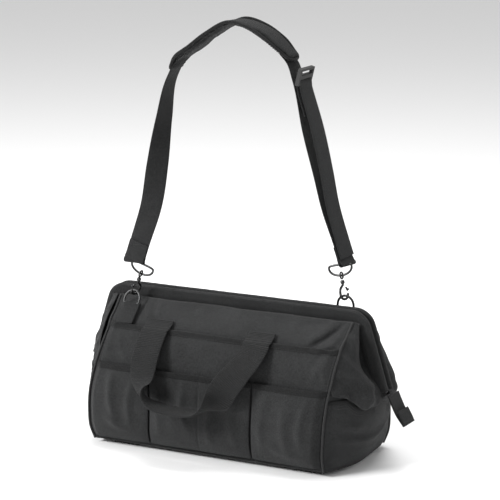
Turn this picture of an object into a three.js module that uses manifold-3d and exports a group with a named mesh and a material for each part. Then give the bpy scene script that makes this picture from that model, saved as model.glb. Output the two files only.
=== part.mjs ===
// A wide-mouth garden tool bag with a shoulder strap. Millimetres, +X along the bag's length,
// -Y towards its front, +Z up, origin on the ground under the middle of its box.
// The rear of the bag is its front turned half a turn about the vertical.
import * as THREE from "three";
import { mergeVertices } from "three/addons/utils/BufferGeometryUtils.js";
import Module from "manifold-3d";

const wasm = await Module();
wasm.setup();

// ---------------------------------------------------------------- driving dimensions
const GAP = 0.3; // kept between pieces that touch
const WALL = 2.4; // padded fabric wall
const FOOT_H = 6;
const SPLIT_Z = 104; // the stiff lower walls end here
const HEM_Z = 215; // top hem of the long pocket
const PANEL_TOP = 254;
const GUSSET_TOP = 240;
const PANEL_HALF = 198; // half-width of the front and rear panels
// height, half-length, half-depth and squareness of the bag's outer walls
const WALLS = [
  [6, 227, 98, 9], [14, 233, 103, 9], [30, 238, 106, 8.5], [60, 246, 107, 8],
  [100, 252, 106, 7], [135, 252, 104, 6.5], [160, 247, 99, 6.5], [185, 240, 90, 7],
  [205, 232, 79, 7.5], [215, 227, 72, 8], [230, 220, 54, 9], [245, 213, 34, 10], [256, 208, 19.6, 10],
];
const POCKET = { reach: 8, z0: 14, wall: 1.5, half: 216 }; // long slip pocket
const LOWER = { reach: 17, z0: 15, z1: 148, wall: 1.5, seam: 4, half: 215 }; // row of four pockets
const DIVIDERS = [-115, -17, 81]; // seams between the lower pockets, measured along X
const END_POCKET = { reach: 11, z0: 16, z1: 96, half: 66, wall: 1.5, seam: 4 };

const PIVOT = { x: 274, z: 135 }; // rivets that join the two mouth frames
const FRAME_TOP = 256; // middle of the mouth frame's top bar
const FRAME_CORNER_X = 237;
const FRAME_BEND_R = 25;
const FRAME_Y = 9; // middle of each frame, out from the zip
const BAR = { width: 14, thick: 2.4 }; // steel strip
const BAND = { width: 24, thick: 11, room: 0.4 };
const LEG_END = 139; // the binding and the straight legs stop above the rivet
const LUG = { radius: 8, thick: 2.4, hole: 2.6 };
const RIVET = { radius: 2.3, head: 5.5, headThick: 2 };
const ZIP = { half: 3.1, thick: 2.4, centre: 251 };

const HANDLE = { width: 50, thick: 2.6, half: 98, mid: -17, anchorTop: 236, axisY: -91, axisZ: 213 };
const TAB = { width: 32, thick: 2, x: 189 };
const RING = { half: 15, rise: 24, wire: 2.2 };
const TAIL = { width: 44, thick: 3, top: [283, 124], bend: [307, 107], tip: [322, 80] };
const ORIGIN_X = 20.89; // middle of the whole box, zip tail included, before the last move
const SLIDER = { x: -190, z: 255.6, halfLength: 8, halfWidth: 3, thick: 3, lift: 6 };
const PULL = { start: 5, end: 38, halfWidth: 2.2, z0: 3.6, z1: 5.6 };
const STRAP_W = 38;
const STRAP_T = 1.8;
const PAD_W = 64;
const PAD_T = 15;

const COLOURS = {
  fabric: [0x17181b, 0.9, 0], webbing: [0x121316, 0.85, 0], binding: [0x141518, 0.8, 0],
  steel: [0x3a3c40, 0.35, 1], hardware: [0x2b2c2f, 0.3, 1], rubber: [0x101012, 0.8, 0],
  board: [0x3b3a38, 0.9, 0], zip: [0x0e0f11, 0.6, 0], pad: [0x131417, 0.9, 0],
};

const bag = new THREE.Group();
const V = (x, y, z) => new THREE.Vector3(x, y, z);

// ---------------------------------------------------------------- building blocks
function piece(name, finish, geometry, turned = false) {
  const [color, roughness, metalness] = COLOURS[finish];
  const mesh = new THREE.Mesh(geometry, new THREE.MeshStandardMaterial({ color, roughness, metalness }));
  mesh.name = name;
  if (turned) mesh.rotation.z = Math.PI;
  bag.add(mesh);
}

// A skin over equal rings of points, counter-clockwise seen from the last ring; closed makes a hoop.
function skin(rings, closed = false) {
  const n = rings[0].length;
  const points = rings.flat().flatMap((p) => [p.x, p.y, p.z]);
  const faces = [];
  const spans = closed ? rings.length : rings.length - 1;
  for (let k = 0; k < spans; k++) {
    const a = k * n;
    const b = ((k + 1) % rings.length) * n;
    for (let i = 0; i < n; i++) {
      const j = (i + 1) % n;
      faces.push(a + i, a + j, b + j, a + i, b + j, b + i);
    }
  }
  if (!closed) {
    const last = (rings.length - 1) * n;
    for (let i = 1; i < n - 1; i++) faces.push(0, i + 1, i, last, last + i, last + i + 1);
  }
  const g = new THREE.BufferGeometry();
  g.setAttribute("position", new THREE.Float32BufferAttribute(points, 3));
  g.setIndex(faces);
  return g;
}

function solid(geometry) {
  const bare = geometry.clone();
  for (const name of ["normal", "uv", "uv1"]) bare.deleteAttribute(name);
  const g = mergeVertices(bare, 1e-4);
  const mesh = new wasm.Mesh({
    numProp: 3,
    vertProperties: new Float32Array(g.attributes.position.array),
    triVerts: new Uint32Array(g.index.array),
  });
  return new wasm.Manifold(mesh);
}

function geometryOf(body) {
  const mesh = body.getMesh();
  const g = new THREE.BufferGeometry();
  g.setAttribute("position", new THREE.BufferAttribute(new Float32Array(mesh.vertProperties), 3));
  g.setIndex(new THREE.BufferAttribute(new Uint32Array(mesh.triVerts), 1));
  return g;
}

function block(x0, x1, y0, y1, z0, z1) {
  const g = new THREE.BoxGeometry(x1 - x0, y1 - y0, z1 - z0);
  g.translate((x0 + x1) / 2, (y0 + y1) / 2, (z0 + z1) / 2);
  return solid(g);
}

// A strip of webbing: middle points, and the direction of its width at each.
function webbing(points, across, width, thick) {
  const rings = points.map((p, i) => {
    const along = points[Math.min(i + 1, points.length - 1)].clone().sub(points[Math.max(i - 1, 0)]).normalize();
    const side = across[i].clone().sub(along.clone().multiplyScalar(across[i].dot(along))).normalize();
    const out = along.clone().cross(side).normalize();
    const at = (u, v) => p.clone().addScaledVector(side, u * width / 2).addScaledVector(out, v * thick / 2);
    const columns = [-1, -0.5, 0, 0.5, 1];
    return [...columns.map((u) => at(u, -1)), ...columns.map((u) => at(-u, 1))];
  });
  return skin(rings);
}

// Round wire along a flat path; normal is the path's plane.
function wire(points, normal, radius, closed = false, sides = 10) {
  const n = points.length;
  const rings = points.map((p, i) => {
    const before = closed ? points[(i + n - 1) % n] : points[Math.max(i - 1, 0)];
    const after = closed ? points[(i + 1) % n] : points[Math.min(i + 1, n - 1)];
    const along = after.clone().sub(before).normalize();
    const side = normal.clone().cross(along);
    const ring = [];
    for (let k = 0; k < sides; k++) {
      const a = 2 * Math.PI * (k + 0.5) / sides;
      ring.push(p.clone().addScaledVector(side, radius * Math.cos(a)).addScaledVector(normal, radius * Math.sin(a)));
    }
    return ring;
  });
  return skin(rings, closed);
}

function smooth(points, steps) {
  return new THREE.CatmullRomCurve3(points, false, "centripetal").getSpacedPoints(steps);
}

// ---------------------------------------------------------------- the bag's walls
const RING_STEPS = 56;
function wallAt(z) {
  let k = 0;
  while (k < WALLS.length - 2 && WALLS[k + 1][0] < z) k++;
  const [a, b] = [WALLS[k], WALLS[k + 1]];
  const t = (z - a[0]) / (b[0] - a[0]);
  return [1, 2, 3].map((i) => a[i] + t * (b[i] - a[i]));
}

// The solid inside the outer walls, grown outwards by reach, from z0 up to z1.
function filled(reach, z0, z1) {
  const heights = [z0, ...WALLS.map((w) => w[0]).filter((z) => z > z0 && z < z1), z1];
  const rings = heights.map((z) => {
    const [halfX, halfY, square] = wallAt(z);
    const ring = [];
    for (let i = 0; i < RING_STEPS; i++) {
      const a = 2 * Math.PI * (i + 0.5) / RING_STEPS;
      const [c, s] = [Math.cos(a), Math.sin(a)];
      const power = 2 / square;
      const x = (halfX + reach) * Math.sign(c) * Math.abs(c) ** power;
      ring.push(V(x, (halfY + reach) * Math.sign(s) * Math.abs(s) ** power, z));
    }
    return ring;
  });
  return solid(skin(rings));
}

const shell = filled(0, FOOT_H, 256).subtract(filled(-WALL, FOOT_H + WALL, 262));
const FAR = 400;

piece("lower_body", "fabric", geometryOf(shell.intersect(block(-FAR, FAR, -FAR, FAR, 0, SPLIT_Z - GAP / 2))));
piece("base_board", "board", (() => {
  const outline = new THREE.Shape();
  const [hx, hy, r] = [200, 88, 28];
  outline.moveTo(-hx + r, -hy);
  outline.lineTo(hx - r, -hy).absarc(hx - r, -hy + r, r, -Math.PI / 2, 0, false);
  outline.lineTo(hx, hy - r).absarc(hx - r, hy - r, r, 0, Math.PI / 2, false);
  outline.lineTo(-hx + r, hy).absarc(-hx + r, hy - r, r, Math.PI / 2, Math.PI, false);
  outline.lineTo(-hx, -hy + r).absarc(-hx + r, -hy + r, r, Math.PI, 1.5 * Math.PI, false);
  const g = new THREE.ExtrudeGeometry(outline, { depth: 3, bevelEnabled: false, curveSegments: 6 });
  g.translate(0, 0, FOOT_H + WALL + GAP);
  return g;
})());

for (const [end, sign] of [["left", -1], ["right", 1]]) {
  const [x0, x1] = sign < 0 ? [-FAR, -PANEL_HALF - GAP] : [PANEL_HALF + GAP, FAR];
  piece(`${end}_gusset`, "fabric", geometryOf(shell.intersect(block(x0, x1, -FAR, FAR, SPLIT_Z + GAP / 2, GUSSET_TOP))));
  // End pocket: an open-topped tray sewn over the end wall.
  const edge = sign < 0 ? [-FAR, -180] : [180, FAR];
  const { reach, z0, z1, half, wall, seam } = END_POCKET;
  const tray = filled(reach, z0, z1).subtract(filled(GAP, z0 - 1, z1 + 1))
    .intersect(block(...edge, -half, half, z0, z1));
  const hollow = filled(reach - wall, z0 + seam, z1 + 1)
    .intersect(block(...edge, -half + seam, half - seam, z0 + seam, z1 + 1));
  piece(`${end}_end_pocket`, "fabric", geometryOf(tray.subtract(hollow)));
}

// ---------------------------------------------------------------- one long side of the bag
function panels(side, turned) {
  const wall = (z0, z1) => geometryOf(shell.intersect(block(-PANEL_HALF, PANEL_HALF, -FAR, 0, z0, z1)));
  piece(`${side}_wall`, "fabric", wall(SPLIT_Z + GAP / 2, HEM_Z - GAP / 2), turned);
  piece(`${side}_upper_panel`, "fabric", wall(HEM_Z + GAP / 2, PANEL_TOP), turned);

  const longBlock = filled(POCKET.reach, POCKET.z0, HEM_Z - 1).subtract(filled(GAP, POCKET.z0 - 1, HEM_Z))
    .intersect(block(-POCKET.half, POCKET.half, -FAR, 0, 0, HEM_Z - 1));
  const seam = LOWER.seam;
  const longHollow = filled(POCKET.reach - POCKET.wall, POCKET.z0 + seam, HEM_Z)
    .intersect(block(-POCKET.half + seam, POCKET.half - seam, -FAR, 0, POCKET.z0 + seam, HEM_Z));
  piece(`${side}_long_pocket`, "fabric", geometryOf(longBlock.subtract(longHollow)), turned);

  let row = filled(LOWER.reach, LOWER.z0, LOWER.z1).subtract(filled(POCKET.reach + GAP, LOWER.z0 - 1, LOWER.z1 + 1))
    .intersect(block(-LOWER.half, LOWER.half, -FAR, 0, LOWER.z0, LOWER.z1));
  const edges = [-LOWER.half, ...DIVIDERS, LOWER.half];
  const room = filled(LOWER.reach - LOWER.wall, LOWER.z0 + seam, LOWER.z1 + 1);
  for (let k = 0; k < edges.length - 1; k++) {
    const cell = block(edges[k] + seam / 2, edges[k + 1] - seam / 2, -FAR, 0, LOWER.z0 + seam, LOWER.z1 + 1);
    row = row.subtract(room.intersect(cell));
  }
  piece(`${side}_lower_pockets`, "fabric", geometryOf(row), turned);
}

// ---------------------------------------------------------------- mouth frame, binding and zip
// Outline of a strip of this width along the U-shaped frame line, its legs ending at height zEnd.
function frameOutline(width, zEnd, centre = FRAME_TOP) {
  const lean = (PIVOT.x - FRAME_CORNER_X) / (FRAME_TOP - LEG_END);
  const turn = Math.PI / 2 - Math.atan(lean); // how far the bar bends at each corner
  const legX = (z) => FRAME_CORNER_X + (FRAME_TOP - z) * lean;
  const cosLean = Math.cos(Math.atan(lean));
  const shift = centre - FRAME_TOP;
  const edge = (offset) => {
    const r = FRAME_BEND_R + offset;
    const tangent = FRAME_BEND_R * Math.tan(turn / 2);
    const cx = FRAME_CORNER_X - tangent;
    const cz = FRAME_TOP - FRAME_BEND_R;
    const run = [];
    for (let k = 0; k <= 5; k++) {
      const a = Math.PI / 2 - turn * k / 5;
      run.push([cx + (r + shift) * Math.cos(a), cz + (r + shift) * Math.sin(a)]);
    }
    run.push([legX(zEnd) + (offset + shift) / cosLean, zEnd]);
    return run;
  };
  const outer = edge(width / 2);
  const inner = edge(-width / 2).reverse();
  const right = [...outer, ...inner];
  const left = [...outer.map(([x, z]) => [-x, z]).reverse()];
  const leftInner = [...inner.map(([x, z]) => [-x, z]).reverse()];
  return new THREE.Shape([...left, ...right.slice(0, outer.length), ...inner, ...leftInner]
    .map(([x, z]) => new THREE.Vector2(x, z)));
}

// Extrudes an outline drawn in X and Z through the depths y0 to y1.
function upright(shape, y0, y1) {
  const g = new THREE.ExtrudeGeometry(shape, { depth: y1 - y0, bevelEnabled: false });
  g.rotateX(Math.PI / 2);
  g.translate(0, y1, 0);
  return g;
}

function lug(x0) {
  const outline = new THREE.Shape();
  outline.moveTo(-FRAME_Y - 1.2, PIVOT.z + 18);
  outline.lineTo(-FRAME_Y - 1.2, PIVOT.z + 2);
  outline.lineTo(-6.5, PIVOT.z - 4.5);
  outline.absarc(0, PIVOT.z, LUG.radius, Math.PI * 1.2, Math.PI * 2.5, false);
  outline.lineTo(-FRAME_Y + 1.2, PIVOT.z + 18);
  const hole = new THREE.Path();
  hole.absarc(0, PIVOT.z, LUG.hole, 0, 2 * Math.PI, true);
  outline.holes.push(hole);
  const g = new THREE.ExtrudeGeometry(outline, { depth: LUG.thick, bevelEnabled: false, curveSegments: 10 });
  g.applyMatrix4(new THREE.Matrix4().makeBasis(V(0, 1, 0), V(0, 0, 1), V(1, 0, 0)));
  g.translate(x0, 0, 0);
  return solid(g);
}

function mouthFrame(side, turned) {
  const strip = (width, y0, y1, zEnd, centre) => solid(upright(frameOutline(width, zEnd, centre), y0, y1));
  const half = BAR.thick / 2;
  let bar = strip(BAR.width, -FRAME_Y - half, -FRAME_Y + half, LEG_END);
  // Both lugs of one frame lie on the same side of the other frame's, so either frame fits either way round.
  const reach = LUG.thick + GAP;
  bar = bar.add(lug(PIVOT.x - reach)).add(lug(-PIVOT.x - reach));
  piece(`${side}_mouth_frame`, "steel", geometryOf(bar), turned);

  const room = half + BAND.room;
  const sleeve = strip(BAND.width, -FRAME_Y - BAND.thick / 2, -FRAME_Y + BAND.thick / 2, LEG_END + 16);
  const slot = strip(BAR.width + 2 * BAND.room, -FRAME_Y - room, -FRAME_Y + room, LEG_END - 4);
  piece(`${side}_mouth_binding`, "binding", geometryOf(sleeve.subtract(slot)), turned);
  piece(`${side}_zip_half`, "zip", upright(frameOutline(ZIP.thick, LEG_END + 16, ZIP.centre), -ZIP.half, -GAP / 2), turned);
}

// ---------------------------------------------------------------- carry handles
function handle(side, turned) {
  const { width, thick, half, mid, anchorTop, axisY, axisZ } = HANDLE;
  const across = V(1, 0, 0);
  for (const [end, sign] of [["left", -1], ["right", 1]]) {
    const x = mid + sign * half;
    // The sewn end lies on the upper panel; its free root bends over the pocket hem.
    const sewn = [V(x, -51.5, anchorTop), V(x, -58.5, 230), V(x, -77, 216.5)];
    piece(`${side}_handle_${end}_patch`, "webbing", webbing(sewn, sewn.map(() => across), width, thick), turned);
    const root = [V(x, -83.5, axisZ + 2.5), V(x, -87, axisZ + 1.2), V(x, axisY + 1.3, axisZ + 0.2)];
    piece(`${side}_handle_${end}_root`, "webbing", webbing(root, root.map(() => across), width, thick), turned);
  }
  // The grip hangs in a slack loop: across, depth, height and how far its width turns outwards.
  const loop = [
    [-98, -92.5, axisZ - 3, 0], [-98, -109, 192, 0], [-98, -125, 168, 0], [-98, -134, 143, 0.1],
    [-93, -142, 119, 0.45], [-70, -150, 101, 0.85], [-22, -153, 93, 1], [26, -150, 99, 0.85],
    [49, -143, 118, 0.45], [62, -134, 142, 0.1], [80, -125, 167, 0], [94, -109, 190, 0],
    [98, -98, 203, 0], [98.5, -92.5, axisZ - 3, 0],
  ];
  const middle = loop.findIndex((stop) => stop[3] === 1);
  const points = loop.map(([x, y, z]) => V(mid + x, y, z));
  const widths = loop.map(([, , , turnOut], i) => {
    const a = turnOut * Math.PI / 2;
    return V(i > middle ? -Math.cos(a) : Math.cos(a), -Math.sin(a), 0);
  });
  piece(`${side}_handle_grip`, "webbing", webbing(points, widths, width, thick), turned);
}

// ---------------------------------------------------------------- rings and hooks of the shoulder strap
// A D-shaped ring in the plane of right and up: a straight bar with a bow standing on it.
function dRing(origin, right, up, half, rise, radius) {
  const points = [];
  const at = (u, v) => origin.clone().addScaledVector(right, u).addScaledVector(up, v);
  for (const u of [-0.5, 0, 0.5]) points.push(at(u * half, 0));
  const steps = 12;
  for (let k = 0; k <= steps; k++) {
    const a = Math.PI * k / steps;
    points.push(at(half * Math.cos(a), rise * 0.3 + rise * 0.7 * Math.sin(a)));
    if (k === 0) points.splice(3, 0, at(half, 1));
  }
  points.push(at(-half, 1));
  return wire(points, right.clone().cross(up).normalize(), radius, true);
}

const HOOK = { bend: 8.5, wire: 2.3, neck: 30, eyeR: 5.6, eyeWire: 1.6, yaw: -68 };
function hookSet(end, ringBase, ringLean, hookFoot, hookTop, strapTop, turned) {
  const xAxis = V(1, 0, 0);
  const ringUp = V(0, Math.sin(ringLean), Math.cos(ringLean));
  piece(`${end}_d_ring`, "hardware", dRing(ringBase, xAxis, ringUp, RING.half, RING.rise, RING.wire), turned);

  // The snap hook stands on its own line from hookFoot to hookTop, turned a little off the ring's plane.
  const up = hookTop.clone().sub(hookFoot).normalize();
  const yaw = THREE.MathUtils.degToRad(HOOK.yaw);
  const side = V(Math.cos(yaw), -Math.sin(yaw), 0);
  side.addScaledVector(up, -side.dot(up)).normalize();
  const normal = side.clone().cross(up).normalize();
  const at = (u, v) => hookFoot.clone().addScaledVector(side, u).addScaledVector(up, v);
  const b = HOOK.bend;
  const arc = [];
  for (let k = 0; k <= 10; k++) {
    const a = Math.PI * (1.0 + k / 10);
    arc.push(at(b * Math.cos(a), b + b * Math.sin(a)));
  }
  const neck = [at(b, b + 4), at(b * 0.9, b + 9), at(b * 0.45, b + 13), at(0, b + 16), at(0, b + 20)];
  const hook = solid(wire([at(-b, b + 1.5), ...arc, ...neck], normal, HOOK.wire));
  const barrel = new THREE.CylinderGeometry(3.6, 4, 6, 14);
  barrel.applyMatrix4(new THREE.Matrix4().makeBasis(side, up, normal));
  barrel.translate(...at(0, HOOK.neck).toArray());
  piece(`${end}_snap_hook`, "hardware", geometryOf(hook.add(solid(barrel))), turned);

  // Spring gate from the hook's tip up to its neck, with a thumb stud.
  const gate = solid(wire([at(-b, b + 5), at(-b * 0.86, b + 9.5), at(-b * 0.62, b + 12.2)], normal, 1.7));
  const stud = new THREE.SphereGeometry(2, 10, 6);
  stud.translate(...at(-b - 1.8, b + 8).toArray());
  piece(`${end}_hook_gate`, "hardware", geometryOf(gate.add(solid(stud))), turned);

  // The swivel eye stands on the barrel and holds the strap's own ring.
  const eyeAt = at(0, HOOK.neck + 3.3 + GAP + HOOK.eyeWire + HOOK.eyeR);
  const strapUp = strapTop.clone().sub(eyeAt).normalize();
  const across = V(1, 0, 0).addScaledVector(strapUp, -strapUp.x).normalize();
  const through = across.clone().cross(up).normalize();
  const eye = [];
  const eyeUp = through.clone().cross(across).normalize();
  for (let k = 0; k < 14; k++) {
    const a = 2 * Math.PI * k / 14;
    eye.push(eyeAt.clone().addScaledVector(through, HOOK.eyeR * Math.cos(a)).addScaledVector(eyeUp, HOOK.eyeR * Math.sin(a)));
  }
  piece(`${end}_swivel_eye`, "hardware", wire(eye, across, HOOK.eyeWire, true), turned);
  const strapBar = eyeAt.clone().addScaledVector(strapUp, 18.6);
  const down = strapUp.clone().negate();
  piece(`${end}_strap_ring`, "hardware", dRing(strapBar, across, down, 21.5, 18.6, 2.1), turned);
  return strapBar;
}

// ---------------------------------------------------------------- assembling the bag
for (const [side, turned] of [["front", false], ["rear", true]]) {
  panels(side, turned);
  mouthFrame(side, turned);
  handle(side, turned);
}

for (const [name, x, y] of [["front_left", -1, -1], ["front_right", 1, -1], ["rear_left", -1, 1], ["rear_right", 1, 1]]) {
  // A moulded foot with grooves across it.
  let foot = block(-24, 24, -13, 13, 0, FOOT_H - GAP);
  for (const groove of [-16, -8, 0, 8, 16]) foot = foot.subtract(block(groove - 1.5, groove + 1.5, -14, 14, -1, 2));
  const g = geometryOf(foot);
  g.translate(x * 176, y * 74, 0);
  piece(`foot_${name}`, "rubber", g);
}

for (const [end, sign] of [["left", -1], ["right", 1]]) {
  const headX = PIVOT.x + 2 * LUG.thick;
  const shaft = new THREE.LatheGeometry([
    [0, -7], [RIVET.head, -7], [RIVET.head, -7 + RIVET.headThick], [RIVET.radius, -7 + RIVET.headThick],
    [RIVET.radius, 5], [RIVET.head, 5], [RIVET.head, 5 + RIVET.headThick], [0, 5 + RIVET.headThick],
  ].map(([r, h]) => new THREE.Vector2(r, h)), 16);
  shaft.rotateZ(-Math.PI / 2);
  shaft.translate(sign * PIVOT.x, 0, PIVOT.z);
  piece(`${end}_frame_rivet`, "steel", shaft);
}

// The zip runs on past the right end of the mouth as a hanging tail.
const tailRun = [TAIL.top, TAIL.bend, TAIL.tip].map(([x, z]) => V(x, 0, z));
piece("right_zip_tail", "webbing", webbing(tailRun, tailRun.map(() => V(0, 1, 0)), TAIL.width, TAIL.thick));

const slider = block(SLIDER.x - SLIDER.halfLength, SLIDER.x + SLIDER.halfLength, -SLIDER.halfWidth,
  SLIDER.halfWidth, SLIDER.z, SLIDER.z + SLIDER.thick)
  .add(block(SLIDER.x - 4, SLIDER.x + 4, -1.5, 1.5, SLIDER.z + SLIDER.thick - 0.2, SLIDER.z + SLIDER.lift));
piece("zip_slider", "hardware", geometryOf(slider));
const pull = block(SLIDER.x + PULL.start, SLIDER.x + PULL.end, -PULL.halfWidth, PULL.halfWidth,
  SLIDER.z + PULL.z0, SLIDER.z + PULL.z1);
piece("zip_pull", "hardware", geometryOf(pull));

function tab(end, points, turned) {
  piece(`${end}_ring_tab`, "webbing", webbing(points, points.map(() => V(1, 0, 0)), TAB.width, TAB.thick), turned);
}
tab("left", [V(-184, -76.5, 216.8), V(-184, -62.5, 228.5), V(-184, -50, 238.4)], false);
tab("right", [V(-184, -76.5, 216.8), V(-184, -62.5, 228.5), V(-184, -44, 243.5), V(-184, -36.5, 252)], true);
const leftBar = hookSet("left", V(-186, -47.8, 242.2), 0.42, V(-185, -38.4, 257.6), V(-167, -41.5, 303),
  V(-159, -44, 330), false);
// The right set is given in the turned frame of the rear side.
const rightBar = hookSet("right", V(-187, -34.5, 256), 0.05, V(-186.5, -32.4, 273.6), V(-175.5, -39.5, 317),
  V(-169, -42, 345), true);

// ---------------------------------------------------------------- shoulder strap
const turnBack = (p) => V(-p.x, -p.y, p.z);
const leftEnd = leftBar;
const rightEnd = turnBack(rightBar);
function strapRun(name, points, fromAngle, toAngle, width, thick, steps = 30) {
  const line = smooth(points, steps);
  const across = line.map((p, i) => {
    const t = i / steps;
    const a = fromAngle + (toAngle - fromAngle) * t * t * (3 - 2 * t);
    return V(Math.cos(a), Math.sin(a), 0);
  });
  piece(name, "webbing", webbing(line, across, width, thick));
}
const quarter = Math.PI / 2;
strapRun("left_strap", [
  leftEnd.clone().add(V(0.3, 0, 6.5)), V(-150, -36, 420), V(-144, -25, 487), V(-136, -15, 567), V(-123, -5, 645),
], 0, quarter, STRAP_W, STRAP_T);
strapRun("right_strap_inner", [
  rightEnd.clone().add(V(-0.3, 0, 6.5)), V(151, 36, 430), V(141, 30, 482), V(126, 18, 560), V(108, 5, 655),
], 1.35, quarter, STRAP_W, STRAP_T);
strapRun("right_strap_outer", [
  V(rightEnd.x + 1.6, rightEnd.y + 1, rightEnd.z + 14), V(163, 35, 420), V(151, 29, 490), V(136, 17, 565), V(120.5, 6, 634),
], 1.35, quarter, STRAP_W, STRAP_T);

// Three-bar slide that takes up the doubled webbing beside the pad.
const slide = block(-3.5, 3.5, -25, 25, -2, 27)
  .subtract(block(-9, 9, -20, 20, 2, 9)).subtract(block(-9, 9, -20, 20, 16, 23));
const slideGeometry = geometryOf(slide);
slideGeometry.rotateY(0.25);
slideGeometry.translate(119.5, 4, 642);
piece("strap_slide", "hardware", slideGeometry);

// Padded shoulder piece: a rounded cushion bent over the top of the strap.
const padLine = smooth([
  V(-121, -3, 651), V(-112, 0, 671), V(-80, 0, 694), V(-46, 0, 719), V(-2, 0, 741), V(37, 0, 732), V(72, 0, 711), V(103, 2, 684),
], 22);
const padRings = padLine.map((p, i) => {
  const t = i / (padLine.length - 1);
  const along = padLine[Math.min(i + 1, padLine.length - 1)].clone().sub(padLine[Math.max(i - 1, 0)]).normalize();
  const out = V(0, 1, 0).cross(along).normalize().negate();
  const full = Math.min(1, 0.62 + 2.6 * Math.min(t, 1 - t));
  const ring = [];
  for (let k = 0; k < 16; k++) {
    const a = 2 * Math.PI * (k + 0.5) / 16;
    const [c, s] = [Math.cos(a), Math.sin(a)];
    const wide = PAD_W / 2 * full * Math.sign(c) * Math.abs(c) ** 0.5;
    ring.push(p.clone().add(V(0, wide, 0)).addScaledVector(out, PAD_T / 2 * s));
  }
  return ring;
});
piece("shoulder_pad", "pad", skin(padRings));

// The zip tail makes the box reach further to the right, so the bag moves until the origin is under its middle.
bag.position.x = -ORIGIN_X;
const part = new THREE.Group();
part.add(bag);

export default part;
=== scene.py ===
import math

import bpy
import numpy as np
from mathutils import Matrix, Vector


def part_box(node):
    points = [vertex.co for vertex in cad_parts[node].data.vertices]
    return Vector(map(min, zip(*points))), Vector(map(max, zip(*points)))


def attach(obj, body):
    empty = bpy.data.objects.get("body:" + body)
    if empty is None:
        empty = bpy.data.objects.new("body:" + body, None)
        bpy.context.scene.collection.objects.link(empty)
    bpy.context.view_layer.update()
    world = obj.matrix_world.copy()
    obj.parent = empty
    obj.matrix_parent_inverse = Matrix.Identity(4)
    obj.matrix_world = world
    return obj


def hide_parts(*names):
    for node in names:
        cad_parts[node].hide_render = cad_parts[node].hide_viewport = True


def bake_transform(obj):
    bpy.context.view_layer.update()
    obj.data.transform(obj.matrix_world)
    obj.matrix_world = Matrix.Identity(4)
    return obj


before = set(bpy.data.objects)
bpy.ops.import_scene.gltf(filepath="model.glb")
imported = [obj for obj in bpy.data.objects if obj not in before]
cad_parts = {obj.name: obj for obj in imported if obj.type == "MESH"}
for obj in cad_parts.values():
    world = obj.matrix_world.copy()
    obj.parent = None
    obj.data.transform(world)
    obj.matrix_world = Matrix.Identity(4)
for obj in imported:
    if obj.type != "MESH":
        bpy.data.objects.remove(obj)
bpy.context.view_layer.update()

# A wide-mouth garden tool bag. Shapes are worked out in millimetres and put into metres by piece().
# +X runs along the bag, -Y is its front, +Z is up, and its base stands on the ground.
# The rear of the bag is its front turned half a turn about the vertical.
MM = 0.001
TO_FRONT = np.array([0.0, -1.0, 0.0])
TO_RIGHT = np.array([1.0, 0.0, 0.0])


def box_mm(node):
    """Lowest and highest corner of a CAD node, in millimetres."""
    low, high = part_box(node)
    return np.array(low) / MM, np.array(high) / MM


# Everything here is measured from the middle of the base board, and piece() moves it to the frame's origin,
# which is under the middle of the whole box with its zip tail.
BOARD_MIDDLE = np.array([sum(box_mm("base_board"))[0] / 2, 0, 0])

# ---------------------------------------------------------------- camera, light and floor
CAMERA_AZIMUTH = math.radians(27.5)
CAMERA_HEIGHT = math.radians(12.3)
CAMERA_DISTANCE = 4.0
CAMERA_LENS = 167.5
AIM_HEIGHT = 0.25
AIM_RIGHT, AIM_UP = 0.0195, 0.0943  # from the point at that height over the base board to the view's middle


def set_camera():
    """A long lens, round to the right of the front and a little above."""
    a, e = CAMERA_AZIMUTH, CAMERA_HEIGHT
    right = Vector((math.cos(a), math.sin(a), 0))
    back = Vector((math.sin(a) * math.cos(e), -math.cos(a) * math.cos(e), math.sin(e)))
    aim = Vector((BOARD_MIDDLE[0] * MM, 0, AIM_HEIGHT)) + right * AIM_RIGHT + back.cross(right) * AIM_UP
    data = bpy.data.cameras.new("camera")
    data.lens = CAMERA_LENS
    data.clip_end = 50
    eye = bpy.data.objects.new("camera", data)
    eye.location = aim + back * CAMERA_DISTANCE
    eye.rotation_euler = back.to_track_quat("Z", "Y").to_euler()
    bpy.context.collection.objects.link(eye)
    bpy.context.scene.camera = eye


set_camera()
bpy.context.scene.view_settings.view_transform = "Standard"


def soft_box(name, place, aim, size, watts):
    """A rectangular area lamp, turned to face its aim."""
    data = bpy.data.lights.new(name, "AREA")
    data.shape = "RECTANGLE"
    data.size, data.size_y = size
    data.energy = watts
    lamp = bpy.data.objects.new(name, data)
    lamp.location = place
    lamp.rotation_euler = (Vector(place) - Vector(aim)).to_track_quat("Z", "Y").to_euler()
    bpy.context.collection.objects.link(lamp)


# ---------------------------------------------------------------- numpy shapes
def unit(v):
    """Each vector divided by its length."""
    return v / np.maximum(np.linalg.norm(v, axis=-1, keepdims=True), 1e-9)


def smooth_through(t, knots, values):
    """Cubics through the values at the knots, each with the mean slope of its neighbours at its ends."""
    t, knots, values = np.asarray(t, float), np.asarray(knots, float), np.asarray(values, float)
    flat = values.ndim == 1
    values = values[:, None] if flat else values
    slopes = np.gradient(values, knots, axis=0)
    k = np.clip(np.searchsorted(knots, t, side="right") - 1, 0, len(knots) - 2)
    span = (knots[k + 1] - knots[k])[..., None]
    u = np.clip((t - knots[k])[..., None] / span, 0, 1)
    h = (2 * u ** 3 - 3 * u ** 2 + 1) * values[k] + (u ** 3 - 2 * u ** 2 + u) * span * slopes[k]
    h = h + (3 * u ** 2 - 2 * u ** 3) * values[k + 1] + (u ** 3 - u ** 2) * span * slopes[k + 1]
    return h[..., 0] if flat else h


def lengths_along(points):
    """The length run so far at each point: the running sum of the straight steps."""
    steps = np.linalg.norm(np.diff(points, axis=0), axis=-1)
    return np.concatenate([np.zeros((1,) + steps.shape[1:]), np.cumsum(steps, axis=0)])


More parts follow.
